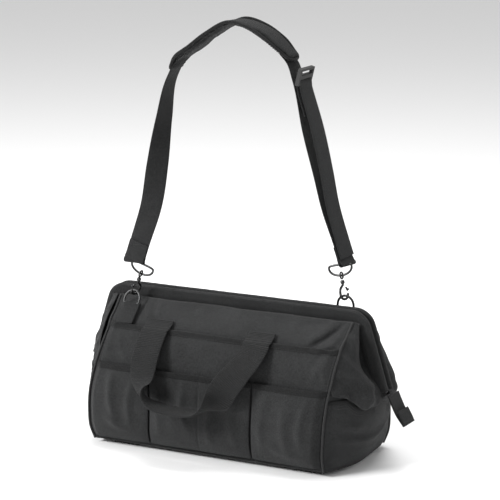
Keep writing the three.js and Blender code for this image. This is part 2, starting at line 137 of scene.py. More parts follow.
def run_through(stops, count):
    """Points evenly spaced along the smooth curve through the stops, whatever their number of values."""
    stops = np.asarray(stops, float)
    knots = lengths_along(stops[:, :3])
    fine = smooth_through(np.linspace(0, knots[-1], 40 * len(stops)), knots, stops)
    lengths = lengths_along(fine[:, :3])
    even = np.linspace(0, lengths[-1], count)
    return np.stack([np.interp(even, lengths, fine[:, i]) for i in range(stops.shape[1])], axis=-1)


def blended(t, low, high):
    """0 below low, 1 above high, and the S-curve 3u^2 - 2u^3 between."""
    u = np.clip((t - low) / (high - low), 0, 1)
    return u * u * (3 - 2 * u)


def bump(t, middle, width):
    """The bell curve exp(-(t - middle)^2 / width^2)."""
    return np.exp(-((t - middle) / width) ** 2)


def creases(x, z, folds):
    """Sum of soft ridges: each falls off as a bell across its line and fades out at the line's two ends."""
    total = np.zeros(np.broadcast(x, z).shape)
    for (x0, z0), (x1, z1), height, width in folds:
        along = np.array([x1 - x0, z1 - z0], float)
        length = np.hypot(*along)
        along /= length
        s = ((x - x0) * along[0] + (z - z0) * along[1]) / length
        d = (x - x0) * along[1] - (z - z0) * along[0]
        bow = 0.06 * length * np.sin(np.pi * np.clip(s, 0, 1))
        total = total + height * bump(d, bow, width) * blended(s, -0.15, 0.3) * (1 - blended(s, 0.6, 1.15))
    return total


def slack(x, z, seed, scale, height):
    """A gentle unevenness: the mean of eight sine waves of random direction and phase."""
    draw = np.random.default_rng(seed)
    total = 0
    for _ in range(8):
        turn, phase, size = draw.uniform(0, math.pi), draw.uniform(0, 2 * math.pi), draw.uniform(0.7, 1.6)
        total = total + np.sin((x * math.cos(turn) + z * math.sin(turn)) / (scale * size) + phase)
    return height * total / 8


def grid_normals(grid):
    """Across the columns, times up the rows: for columns along +X and rows along +Z this faces -Y."""
    return unit(np.cross(np.gradient(grid, axis=1), np.gradient(grid, axis=0)))


def patch(grid, uv, hoop=False):
    """Quads over a grid of points, rows by columns; a hoop joins the last column to the first.

    uv has one more column than the grid when it is a hoop.
    """
    rows, cols = grid.shape[:2]
    index = np.arange(rows * cols).reshape(rows, cols)
    if hoop:
        index = np.hstack([index, index[:, :1]])

    def corners(a):
        return np.stack([a[:-1, :-1], a[:-1, 1:], a[1:, 1:], a[1:, :-1]], axis=2)

    return grid.reshape(-1, 3), corners(index).reshape(-1, 4), corners(uv).reshape(-1, 4, 2)


def joined(parts):
    """Several patches as one."""
    starts = np.cumsum([0] + [len(p[0]) for p in parts[:-1]])
    return (
        np.concatenate([p[0] for p in parts]),
        np.concatenate([p[1] + n for p, n in zip(parts, starts)]),
        np.concatenate([p[2] for p in parts]),
    )


def facing_out(part):
    """Turns a closed patch's faces over if the volume that they enclose comes out negative."""
    points, faces, uvs = part
    a, b, c, d = (points[faces[:, i]] for i in range(4))
    if (a * (np.cross(b, c) + np.cross(c, d))).sum() < 0:
        faces, uvs = faces[:, ::-1], uvs[:, ::-1]
    return points, faces, uvs


def cloth_uv(grid):
    """Millimetres along the rows and up the columns, measured on the cloth itself."""
    across = np.moveaxis(lengths_along(np.moveaxis(grid, 1, 0)), 0, 1)
    up = lengths_along(grid)
    across = across - across[:, across.shape[1] // 2][:, None]
    return np.stack([across, up], axis=-1)


def slab(grid, thick, uv=None):
    """Cloth of even thickness: the grid, its copy moved back along the normals, and the rims between."""
    uv = cloth_uv(grid) if uv is None else uv
    inner = grid - grid_normals(grid) * thick
    ring = np.concatenate([grid, inner[:, ::-1]], axis=1)
    ring_uv = np.concatenate([uv, uv[:, ::-1], uv[:, :1]], axis=1)
    points, faces, uvs = patch(ring, ring_uv, hoop=True)
    rows, cols = grid.shape[:2]
    j = np.arange(cols - 1)
    rims = [(faces, uvs)]
    for row, order in ((0, (0, 1, 2, 3)), (rows - 1, (3, 2, 1, 0))):
        first = row * 2 * cols
        last = first + 2 * cols - 1
        quad = np.stack([first + j, last - j, last - 1 - j, first + j + 1], axis=1)
        quad_uv = np.stack([uv[row, j], uv[row, j], uv[row, j + 1], uv[row, j + 1]], axis=1)
        rims.append((quad[:, order], quad_uv[:, order]))
    return facing_out((points, np.concatenate([r[0] for r in rims]), np.concatenate([r[1] for r in rims])))


def swept(path, side, up, profile, closed=False):
    """A closed profile of (across, outwards) points carried along a path, its two ends drawn to a point.

    profile is one outline for the whole path, or one for each point of it.
    """
    profile = np.broadcast_to(np.asarray(profile, float), (len(path),) + np.shape(profile)[-2:])
    grid = path[:, None] + side[:, None] * profile[..., :1] + up[:, None] * profile[..., 1:]
    around = lengths_along(np.concatenate([profile[0], profile[0][:1]]))
    along = lengths_along(path)
    if closed:
        grid = np.concatenate([grid, grid[:1]])
        along = np.append(along, along[-1] + np.linalg.norm(path[-1] - path[0]))
    else:
        grid = np.concatenate([np.repeat(grid[:1].mean(1, keepdims=True), grid.shape[1], 1), grid,
                               np.repeat(grid[-1:].mean(1, keepdims=True), grid.shape[1], 1)])
        along = np.concatenate([along[:1], along, along[-1:]])
    uv = np.stack(np.broadcast_arrays(along[:, None], around[None, :]), axis=-1)
    return facing_out(patch(grid, uv, hoop=True))


def directions(path, closed=False):
    """Unit vectors along a path."""
    if closed:
        return unit(np.roll(path, -1, axis=0) - np.roll(path, 1, axis=0))
    return unit(np.gradient(path, axis=0))


def tube(path, radius, closed=False, sides=8):
    """A round cord along a path. Each side direction is the one before, made square to the path."""
    along = directions(path, closed)
    hint = [1.0, 0, 0] if abs(along[0, 2]) > 0.9 else [0, 0, 1.0]
    side = np.empty_like(path)
    side[0] = unit(np.cross(hint, along[0]))
    for i in range(1, len(path)):
        side[i] = unit(side[i - 1] - along[i] * np.dot(side[i - 1], along[i]))
    a = np.linspace(0, 2 * np.pi, sides, endpoint=False)
    outline = np.stack([radius * np.cos(a), radius * np.sin(a)], axis=-1)
    return swept(path, side, np.cross(along, side), outline, closed)


def strip_outline(width, thick, edge=6):
    """A flat strip's outline: long straight faces and half-round edges."""
    a = np.linspace(-np.pi / 2, np.pi / 2, edge)
    x = width / 2 - thick / 2 + thick / 2 * np.cos(a)
    y = thick / 2 * np.sin(a)
    across = np.linspace(-1, 1, 7)[1:-1] * (width - thick) / 2
    top = np.stack([across[::-1], np.full(5, thick / 2)], axis=-1)
    bottom = np.stack([across, np.full(5, -thick / 2)], axis=-1)
    return np.concatenate([np.stack([x, y], -1), top, np.stack([-x, -y], -1), bottom])


def ribbon(stops, across, width, thick, count=60):
    """Webbing through the stops; across gives the direction of its width at each."""
    both = run_through(np.concatenate([stops, across], axis=1), count)
    path, side = both[:, :3], both[:, 3:]
    along = directions(path)
    side = unit(side - along * (side * along).sum(1, keepdims=True))
    return swept(path, side, np.cross(along, side), strip_outline(width, thick))


def stitches(path, out, length=3.0, gap=1.4, radius=0.42, sink=0.1):
    """A row of thread: short capsules laid along the path, their two thin ends dipping into the cloth.

    sink is how much deeper the whole row lies, as a share of the radius.
    """
    lengths = lengths_along(path)
    count = max(int(lengths[-1] / (length + gap)), 1)
    at = (np.arange(count) + 0.5) * lengths[-1] / count

    def there(values):
        return np.stack([np.interp(at, lengths, values[:, i]) for i in range(3)], axis=-1)

    middle = there(path)
    along = unit(there(directions(path)))
    up = unit(there(np.broadcast_to(out, path.shape)))
    side = np.cross(up, along)
    s = np.array([-0.5, -0.38, 0.38, 0.5]) * length
    r = np.array([0.0, 1.0, 1.0, 0.0]) * radius
    dip = np.array([1.0, 0.0, 0.0, 1.0]) * radius + sink * radius
    a = np.linspace(0, 2 * np.pi, 6, endpoint=False)
    across = r[:, None] * np.cos(a)
    rise = r[:, None] * np.sin(a) - dip[:, None]
    grid = (middle[:, None, None] + along[:, None, None] * s[None, :, None, None]
            + side[:, None, None] * across[None, ..., None] + up[:, None, None] * rise[None, ..., None])
    index = np.arange(count * rise.size).reshape(count, *rise.shape)
    index = np.concatenate([index, index[..., :1]], axis=2)
    faces = np.stack([index[:, :-1, :-1], index[:, :-1, 1:], index[:, 1:, 1:], index[:, 1:, :-1]], axis=-1)
    faces = faces.reshape(-1, 4)
    return facing_out((grid.reshape(-1, 3), faces, np.zeros((len(faces), 4, 2))))


def turned(part):
    """The same patch half a turn round the vertical."""
    return part[0] * np.array([-1, -1, 1]), part[1], part[2]


def piece(name, layers, body=None, bend=None, stands_for=(), half_turn=False):
    """Makes one object from pairs of a patch and its finish.

    bend is (body before, body after, start, end), with start and end in millimetres; only whether it is
    given is used, and a piece with one goes to no body.
    """
    parts = [turned(part) if half_turn else part for part, _ in layers]
    finishes = [finish for _, finish in layers]
    if half_turn and bend:
        bend = bend[:2] + tuple((-p[0], -p[1], p[2]) for p in bend[2:])
    points, faces, uvs = joined(parts)
    mesh = bpy.data.meshes.new(name)
    mesh.vertices.add(len(points))
    mesh.vertices.foreach_set("co", ((points + BOARD_MIDDLE) * MM).astype(np.float32).ravel())
    mesh.loops.add(faces.size)
    mesh.loops.foreach_set("vertex_index", faces.astype(np.int32).ravel())
    mesh.polygons.add(len(faces))
    mesh.polygons.foreach_set("loop_start", np.arange(0, faces.size, 4, dtype=np.int32))
    layer = mesh.uv_layers.new(name="cloth")
    layer.data.foreach_set("uv", (uvs * MM).astype(np.float32).ravel())
    kinds = list(dict.fromkeys(finishes))
    for kind in kinds:
        mesh.materials.append(kind)
    which = np.concatenate([np.full(len(p[1]), kinds.index(f), np.int32) for p, f in zip(parts, finishes)])
    mesh.polygons.foreach_set("material_index", which)
    mesh.polygons.foreach_set("use_smooth", np.ones(len(faces), bool))
    mesh.update()
    mesh.validate()
    o = bpy.data.objects.new(name, mesh)
    bpy.context.collection.objects.link(o)
    if bend:
        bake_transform(o)
    else:
        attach(o, body)
    if stands_for:
        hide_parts(*stands_for)
    return o


# ---------------------------------------------------------------- shader language
class Value:
    """A shader socket that sums, products and powers can be written with."""

    def __init__(self, finish, socket):
        self.finish, self.socket = finish, socket

    def _with(self, operation, other):
        return self.finish.out("ShaderNodeMath", {"operation": operation}, {0: self, 1: other})

    def __add__(self, other):
        return self._with("ADD", other)

    def __mul__(self, other):
        return self._with("MULTIPLY", other)

    def __pow__(self, other):
        return self._with("POWER", other)

    def sine(self):
        return self._with("SINE", 0)

    def absolute(self):
        return self._with("ABSOLUTE", 0)


class Finish:
    """One material and its nodes."""

    def __init__(self, name, **constants):
        self.material = bpy.data.materials.new(name)
        self.material.use_nodes = True
        self.tree = self.material.node_tree
        self.tree.nodes.clear()
        self.surface = self.node("ShaderNodeBsdfPrincipled", {}, constants)
        self.node("ShaderNodeOutputMaterial", {}, {"Surface": Value(self, self.surface.outputs[0])})

    def node(self, kind, settings=None, sockets=None):
        """A node of this type, its settings made first and then the values or links of its sockets."""
        made = self.tree.nodes.new(kind)
        for key, value in (settings or {}).items():
            setattr(made, key, value)
        for key, value in (sockets or {}).items():
            if isinstance(value, Value):
                self.tree.links.new(value.socket, made.inputs[key])
            else:
                made.inputs[key].default_value = value
        return made

    def out(self, kind, settings=None, sockets=None, output=0):
        return Value(self, self.node(kind, settings, sockets).outputs[output])

    def place(self):
        """Object coordinates."""
        return self.out("ShaderNodeTexCoord", output="Object")

    def along_cloth(self):
        """The cloth's own coordinates, along and across."""
        laid = self.out("ShaderNodeUVMap", {"uv_map": "cloth"})
        where = self.node("ShaderNodeSeparateXYZ", {}, {0: laid})
        return Value(self, where.outputs[0]), Value(self, where.outputs[1])

    def noise(self, scale, detail=3.0, roughness=0.55):
        return self.out("ShaderNodeTexNoise", {}, {"Vector": self.place(), "Scale": scale, "Detail": detail,
                                                   "Roughness": roughness})

    def spread(self, value, low, high, to_low=0.0, to_high=1.0):
        return self.out("ShaderNodeMapRange", {"clamp": True},
                        {"Value": value, 1: low, 2: high, 3: to_low, 4: to_high})

    def mix(self, share, dark, light):
        return self.out("ShaderNodeMix", {"data_type": "RGBA"}, {0: share, 6: dark, 7: light}, output=2)

    def drive(self, **sockets):
        for key, value in sockets.items():
            self.tree.links.new(value.socket, self.surface.inputs[key.replace("_", " ")])

    def relief(self, height, distance, strength):
        self.drive(Normal=self.out("ShaderNodeBump", {}, {"Height": height, "Distance": distance,
                                                          "Strength": strength}))


def shade(grey, warmth=0.0):
    """A near-neutral colour; warmth moves it from blue towards red."""
    return (grey * (1 + warmth), grey, grey * (1 - warmth), 1)


COOL = -0.02  # black cloth and plating lean a little to blue


def woven_finish(name, grey, thread, rough, sheen, ribs=0.0, rib_share=0.0, shine=0.16, depth=0.0008):
    """Plain-woven polyester: crossing threads, coarser ribs where asked for, an uneven, dusty dye, and
    painted shade in the hollows of the weave and ribs with painted highlight on their crests.

    thread is the pitch of the weave and ribs that of the ribs across the strip, both in metres.
    """
    f = Finish(name, **{"Sheen Weight": sheen, "Sheen Roughness": 0.45, "Specular IOR Level": shine})
    u, v = f.along_cloth()
    turn = 2 * math.pi
    height = (u * (turn / thread)).sine() * (v * (turn / thread)).sine() * 0.5 + 0.5
    if ribs:
        rib = (u * (math.pi / ribs)).sine().absolute() ** 0.6
        height = height * (1 - rib_share) + rib * rib_share
    dust = f.spread(f.noise(38, 4), 0.35, 0.7)
    fine = f.spread(f.noise(420, 2, 0.7), 0.32, 0.68)
    # the weave's height makes its hollows and the ribs' grooves darker and their crests lighter: painted
    # shade and highlight; the dust and fine noise are uneven dye
    dye_and_weave_shade = dust * 0.34 + fine * 0.68 + height * 0.355
    f.drive(Base_Color=f.mix(dye_and_weave_shade, shade(grey * 0.4, COOL), shade(grey * 1.7, COOL)),
            Roughness=f.spread(dust + height * 0.4, 0.0, 1.4, rough - 0.07, rough + 0.09))
    f.relief(height * (0.6 + rib_share) + f.noise(70, 4) + f.noise(420, 2) * 0.5, depth, 0.8)
    return f.material


def metal_finish(name, grey, rough):
    """Plated metal with faint polishing marks, a little duller where it is handled."""
    f = Finish(name, **{"Metallic": 1.0, "Specular IOR Level": 0.5})
    worn = f.spread(f.noise(140, 4), 0.4, 0.7)
    f.drive(Base_Color=f.mix(worn, shade(grey * 0.85, COOL), shade(grey * 1.12, 0.01)),
            Roughness=f.spread(worn, 0, 1, rough, rough + 0.16))
    f.relief(f.noise(700, 2), 0.00015, 0.25)
    return f.material


def moulded_finish(name, grey, rough):
    """Moulded plastic: a fine even texture and a soft shine."""
    f = Finish(name, **{"Specular IOR Level": 0.5})
    grain = f.spread(f.noise(1500, 2), 0.3, 0.7)
    f.drive(Base_Color=f.mix(grain * 0.5 + f.noise(60, 2) * 0.5, shade(grey * 0.8), shade(grey * 1.2)),
            Roughness=f.spread(grain, 0, 1, rough - 0.05, rough + 0.1))
    f.relief(grain, 0.0002, 0.3)
    return f.material


OXFORD = woven_finish("oxford_cloth", 0.016, 0.0011, 0.72, 0.06)
# the oxford made darker and with less sheen, for the inner folds and zip tapes inside the bag: painted shade
OXFORD_SHADED_INSIDE = woven_finish("oxford_painted_inside_shade", 0.007, 0.0009, 0.85, 0.02)
RIBBED = woven_finish("ribbed_webbing", 0.009, 0.0012, 0.66, 0.05, ribs=0.0032, rib_share=0.75, depth=0.0016)
STRAPPING = woven_finish("strap_webbing", 0.013, 0.0014, 0.7, 0.06, ribs=0.0021, rib_share=0.4, depth=0.0012)
TAPE = woven_finish("edge_tape", 0.008, 0.0009, 0.7, 0.04, ribs=0.0026, rib_share=0.55, depth=0.0014)
BINDING = woven_finish("binding_cloth", 0.0135, 0.0010, 0.7, 0.06, ribs=0.0030, rib_share=0.5, depth=0.0014)
PIPING = woven_finish("piping_cloth", 0.012, 0.0009, 0.55, 0.05, shine=0.3)
PAD_CLOTH = woven_finish("pad_cloth", 0.011, 0.0010, 0.78, 0.05)
THREAD = moulded_finish("sewing_thread", 0.022, 0.55)
NICKEL = metal_finish("dark_nickel", 0.06, 0.32)
STEEL = metal_finish("frame_steel", 0.1, 0.45)
ZIP_METAL = metal_finish("zip_metal", 0.12, 0.35)
COIL = moulded_finish("zip_coil", 0.02, 0.5)
PLASTIC = moulded_finish("moulded_plastic", 0.008, 0.6)
BOARD = moulded_finish("stiff_board", 0.05, 0.8)


# ---------------------------------------------------------------- the bag's shape
# height, depth of the panel at its middle, where the corner piping runs (out along X, then depth),
# how far out the end wall comes at its middle, and the far corner's place along X. The bag is full and a
# little skewed, so its front left and rear right corners stand further out than the other two.
LEVELS = np.array([
    [6, 97, 213, 101, 236, 228], [30, 104, 211, 105, 247, 236], [60, 106, 212, 106, 255, 238],
    [100, 105, 215, 106, 259, 235], [135, 103, 219, 102, 257, 228], [160, 98, 223, 97, 252, 222],
    [185, 89, 225, 87, 250, 217], [205, 78, 226, 74, 244, 215], [215, 71, 226, 66, 240, 216],
    [230, 54, 227, 47, 234, 217], [245, 33, 227, 29, 228, 219], [256, 18, 227, 15, 224, 220],
], float)
BASE_Z = LEVELS[0, 0]
HEM_Z = box_mm("front_long_pocket")[1][2]
LOWER_HEM_Z = box_mm("front_lower_pockets")[1][2]
DIVIDERS = (-115, -17, 81)
CLOTH = 1.6
PANEL_TOP = 251
HEM_FOLD = 5  # from the top of a folded hem to the middle of its fold
SEAM_GAP = 1.6  # from the middle of a divider's seam to the cloth on each side of it
PIPING_R = 2.0
SWING_Z = (118, 214)  # heights of the bend given to the panels: below, cloth would stay with the bag, above, go with the mouth frame; piece() makes no bend from them
FRAME_TOP = 256  # middle of the steel bar, as in the CAD
CORNER_X = 237
BEND_R = 25
FRAME_Y = 9
PIVOT_X, PIVOT_Z = 274, 139
LEAN = (PIVOT_X - CORNER_X) / (FRAME_TOP - PIVOT_Z)
ZIP_DROP = 5.0  # the zip runs below the middle of the bars


def level(z, column):
    """One column of LEVELS at these heights."""
    return smooth_through(z, LEVELS[:, 0], LEVELS[:, column])


def corner_x(x, z):
    """Distance of the corner piping from the bag's middle, on the side that x is on."""
    return np.where(x < 0, level(z, 5), level(z, 2))


FRONT_FOLDS = [
    ((172, 212), (216, 248), -6.5, 4.5), ((160, 218), (204, 252), 4.5, 7), ((186, 208), (223, 232), 4.5, 6),
    ((138, 240), (196, 252), -3.5, 5), ((118, 246), (180, 232), 3.0, 9),
    ((-160, 248), (-136, 221), 5.0, 6), ((-134, 249), (-124, 226), 3.4, 6), ((10, 250), (60, 224), 2.6, 12),
    ((-205, 246), (-212, 190), 4.0, 9), ((214, 205), (190, 162), 3.6, 9), ((-60, 246), (-20, 222), 2.6, 10),
    ((-190, 196), (-160, 156), 2.6, 9), ((60, 205), (110, 160), 2.4, 14), ((205, 190), (218, 160), 3.0, 6),
]
POCKET_FOLDS = [
    ((-186, 138), (-176, 42), 5.1, 9), ((-143, 128), (-150, 40), 4.1, 8), ((-84, 132), (-92, 28), 3.7, 9),
    ((-45, 132), (-38, 50), 4.4, 8), ((16, 118), (8, 24), 3.7, 9), ((47, 136), (58, 30), 4.1, 9),
    ((112, 132), (104, 34), 4.4, 9), ((150, 120), (158, 26), 3.4, 10), ((188, 132), (180, 44), 4.8, 8),
    ((-200, 60), (-150, 34), 3.1, 9), ((120, 44), (200, 30), 3.1, 9),
]


def front_face(x, z, lift=0.0):
    """Front surface, lift outside the panel: the corner depth, swelling to the panel's depth in the middle.

    Depth = corner + (middle - corner)(1 - |x / corner x|^2.5), plus creases, slack and lift, faded at edges.
    """
    out_x, depth = corner_x(x, z), level(z, 3)
    share = np.clip(np.abs(x) / out_x, 0, 1)
    fade = blended(out_x - np.abs(x), 0, 16)
    wave = creases(x, z, FRONT_FOLDS) + slack(x, z, 3, 22, 7.0) * blended(z, 6, 60)
    y = -(depth + (level(z, 1) - depth) * (1 - share ** 2.5) + fade * (wave + lift))
    return np.stack(np.broadcast_arrays(x, y, z), axis=-1)


def panel_grid(z0, z1, rows, cols, lift=lambda x, z: 0, inset=0.0, x_range=None):
    """Columns run between the two corner pipings, or between the two x of x_range."""
    v, u = np.meshgrid(np.linspace(0, 1, rows), np.linspace(-1, 1, cols), indexing="ij")
    z = z0 + (z1 - z0) * v
    edge = corner_x(u, z) - inset
    x = u * edge if x_range is None else x_range[0](z) + (x_range[1](z) - x_range[0](z)) * (u + 1) / 2
    return front_face(x, z, lift(x, z))


def band_along(grid_line, out, height, thick, down):
    """A folded hem: a flat oval carried along the line that it covers."""
    a = np.linspace(0, 2 * np.pi, 14, endpoint=False)
    outline = np.stack([np.sign(np.cos(a)) * np.abs(np.cos(a)) ** 0.4 * height / 2,
                        np.sign(np.sin(a)) * np.abs(np.sin(a)) ** 0.8 * thick / 2], axis=-1)
    return swept(grid_line, down, out, outline)


def long_lift(x, z):
    """The slip pocket lies on the panel and stands off a little at its hem."""
    return 3.2 + 3.6 * blended(z, 150, HEM_Z) + 1.2 * np.sin(x / 37) * blended(z, 160, HEM_Z)


def lower_lift(x, z):
    """Each lower pocket swells between its seams: a steep-sided dome, fullest above half its height."""
    edges = np.array([-234.0, *DIVIDERS, 214.0])
    k = np.clip(np.searchsorted(edges, x) - 1, 0, 3)
    t = np.clip((x - edges[k]) / (edges[k + 1] - edges[k]), 0, 1)
    dome = np.clip(np.sin(np.pi * t), 0, 1) ** 0.32
    shallow = (np.abs(x - DIVIDERS[1]) < 50) * 0.55
    dome = dome * (1 - shallow) + shallow
    height = np.clip((z - 15) / (LOWER_HEM_Z - 15), 0, 1)
    full = 2.5 + 7.5 * np.sin(np.pi * height ** 0.8) ** 0.7 + 2.5 * height
    return 5.2 + dome * full + creases(x, z, POCKET_FOLDS) * dome * blended(z, 15, 45)


def stitch_line(line, out, back=0.35, **kind):
    """A stitch row sunk a little into the cloth under it, with its thread."""
    return stitches(line - np.asarray(out) * back, out, **kind), THREAD


def face_line(z, lift, inset=8.0):
    """A line across the front face at one height, and its outward directions."""
    grid = panel_grid(z - 1, z + 1, 3, 160, lift, inset)
    return grid[1], grid_normals(grid)[1]


def long_side(side, half_turn):
    """Panel, slip pocket, four lower pockets, piping and stitching of one long side."""
    bend = ("bag", f"{side}_frame", (0, 0, SWING_Z[0]), (0, 0, SWING_Z[1]))
    panel = slab(panel_grid(BASE_Z + 1.5, PANEL_TOP, 110, 200), CLOTH)
    piece(f"{side}_panel", [(panel, OXFORD)], bend=bend, half_turn=half_turn,
          stands_for=[f"{side}_wall", f"{side}_upper_panel"])

    # slip pocket with its folded hem
    top = HEM_Z - HEM_FOLD
    layers = [(slab(panel_grid(14, top, 110, 200, long_lift, 1.5), CLOTH), OXFORD)]
    line, out = face_line(top, long_lift, inset=1.5)
    down = np.gradient(panel_grid(top - 1, top + 1, 3, 160, long_lift, 1.5), axis=0)[1]
    layers.append((band_along(line - out * 0.6, out, 11, 3.4, unit(down)), TAPE))
    for z in (top + 3.2, top - 3.4):
        line, out = face_line(z, long_lift)
        layers.append(stitch_line(line + out * 1.05, out))
    piece(f"{side}_slip_pocket", layers, bend=bend, half_turn=half_turn,
          stands_for=[f"{side}_long_pocket"])

    # lower pockets: three pieces of cloth, the middle one with a seam down it
    cells = [(lambda z: -level(z, 5) + 2.5, lambda z: 0 * z + DIVIDERS[0] - SEAM_GAP),
             (lambda z: 0 * z + DIVIDERS[0] + SEAM_GAP, lambda z: 0 * z + DIVIDERS[2] - SEAM_GAP),
             (lambda z: 0 * z + DIVIDERS[2] + SEAM_GAP, lambda z: level(z, 2) - 2.5)]
    top = LOWER_HEM_Z - HEM_FOLD
    layers = []
    for cell, cols in zip(cells, (90, 150, 90)):
        cloth = panel_grid(15, top, 100, cols, lower_lift, x_range=cell)
        edge, out, rise = cloth[-1], grid_normals(cloth)[-1], unit(cloth[-1] - cloth[-2])
        layers.append((slab(cloth, CLOTH), OXFORD))
        layers.append((band_along(edge - out * 0.6, out, 10.5, 3.2, rise), TAPE))
        for drop in (-2.6, 3.0):
            layers.append(stitch_line((edge - rise * drop + out * 0.95)[2:-2], out[2:-2]))
    z = np.linspace(20, top - 8, 60)
    for x, lift in zip(DIVIDERS, (long_lift, lower_lift, long_lift)):
        seam = front_face(x + 0 * z, z, lift(x + 0 * z, z))
        layers.append(stitch_line(seam + 0.4 * TO_FRONT, TO_FRONT))
    piece(f"{side}_lower_pocket_row", layers, half_turn=half_turn, bend=bend,
          stands_for=[f"{side}_lower_pockets"])

    # corner piping, with its row of stitches on the panel
    z = np.linspace(BASE_Z + 2, 250, 90)
    layers = []
    for sign in (-1, 1):
        x = corner_x(sign, z)
        path = np.stack([sign * (x + 0.6), -level(z, 3) - 1.2, z], axis=-1)
        layers.append((tube(path, PIPING_R, sides=10), PIPING))
        inner = front_face(sign * (x - 5), z, 4.2 * (z < HEM_Z))
        layers.append(stitch_line(inner + 0.7 * TO_FRONT, TO_FRONT))
    piece(f"{side}_corner_piping", layers, bend=bend, half_turn=half_turn)


# ---------------------------------------------------------------- ends of the bag
END_FOLDS = [((-88, 62), (80, 66), 5.8, 7), ((-92, 92), (-40, 78), 3.2, 8), ((-60, 50), (30, 30), 3.6, 10),
             ((50, 96), (86, 70), 3.6, 9), ((-94, 40), (-70, 20), 2.9, 8)]


def end_face(y, z, lift=0.0):
    """End wall: x runs from the piping out to its middle as 1 - |y / corner depth|^2.3, plus the lift."""
    depth = level(z, 3)
    share = np.clip(np.abs(y) / depth, 0, 1)
    fade = blended(depth - np.abs(y), 0, 16)
    near = level(z, 2) + (level(z, 5) - level(z, 2)) * blended(y, -60, 90)
    x = near + (level(z, 4) - near) * (1 - share ** 2.3)
    wave = slack(y, z, 8, 18, 6.0) + creases(y, z, END_FOLDS)
    return np.stack(np.broadcast_arrays(x + fade * (wave + lift), y, z), axis=-1)


FLAP_Y = np.array([-100, -84, -65, -50, -27, 0, 27, 50, 65, 84, 100.0])
FLAP_Z = np.array([146, 141, 123, 117, 121, 126, 121, 117, 123, 141, 146.0])


def end_pocket_top(y):
    """The end pocket's hem follows the fold above it, a little lower."""
    return np.minimum(smooth_through(y, FLAP_Y, FLAP_Z) - 7, 128)


def net(points, rows, cols):
    """A smooth sheet through a net of points: cubics along the rows and then up the columns."""
    points = np.array(points, float)
    across = smooth_through(np.linspace(0, points.shape[1] - 1, cols), np.arange(points.shape[1]),
                            points.transpose(1, 0, 2).reshape(points.shape[1], -1))
    across = across.reshape(cols, points.shape[0], 3).transpose(1, 0, 2).reshape(points.shape[0], -1)
    return smooth_through(np.linspace(0, points.shape[0] - 1, rows), np.arange(points.shape[0]),
                          across).reshape(rows, cols, 3)


LEFT_TUCK = 13  # the left end's slack cloth is tucked further in
GUSSET_FOLDS = [
    ((-92, 182), (-66, 160), 3.5, 6), ((-70, 205), (-52, 170), 3.2, 6), ((-60, 140), (-56, 112), 3.2, 6),
    ((-96, 205), (-78, 196), 2.4, 5), ((-40, 235), (-50, 200), 2.6, 5),
]
# Front half of the right end's slack upper cloth, from the piping to the leg of the mouth frame.
# The two lowest rows are the part that is turned under.
GUSSET_NET = [
    [(226, -96, 148), (236, -78, 146), (248, -50, 132), (254, -24, 132), (260, -6, 134)],
    [(227, -99, 141), (242, -82, 133), (260, -53, 112), (265, -26, 115), (270, -6, 122)],
    [(227, -101, 146), (247, -84, 140), (273, -56, 116), (279, -28, 120), (283, -7, 128)],
    [(222, -98, 160), (240, -80, 160), (272, -50, 150), (262, -25, 148), (272, -8, 144)],
    [(225, -88, 184), (236, -72, 186), (253, -45, 180), (236, -22, 180), (252, -9, 178)],
    [(226, -66, 215), (233, -55, 218), (245, -37, 214), (226, -18, 214), (241, -9, 212)],
    [(227, -23, 250), (231, -22, 251), (239, -19, 248), (229, -13, 246), (230, -9, 245)],
]


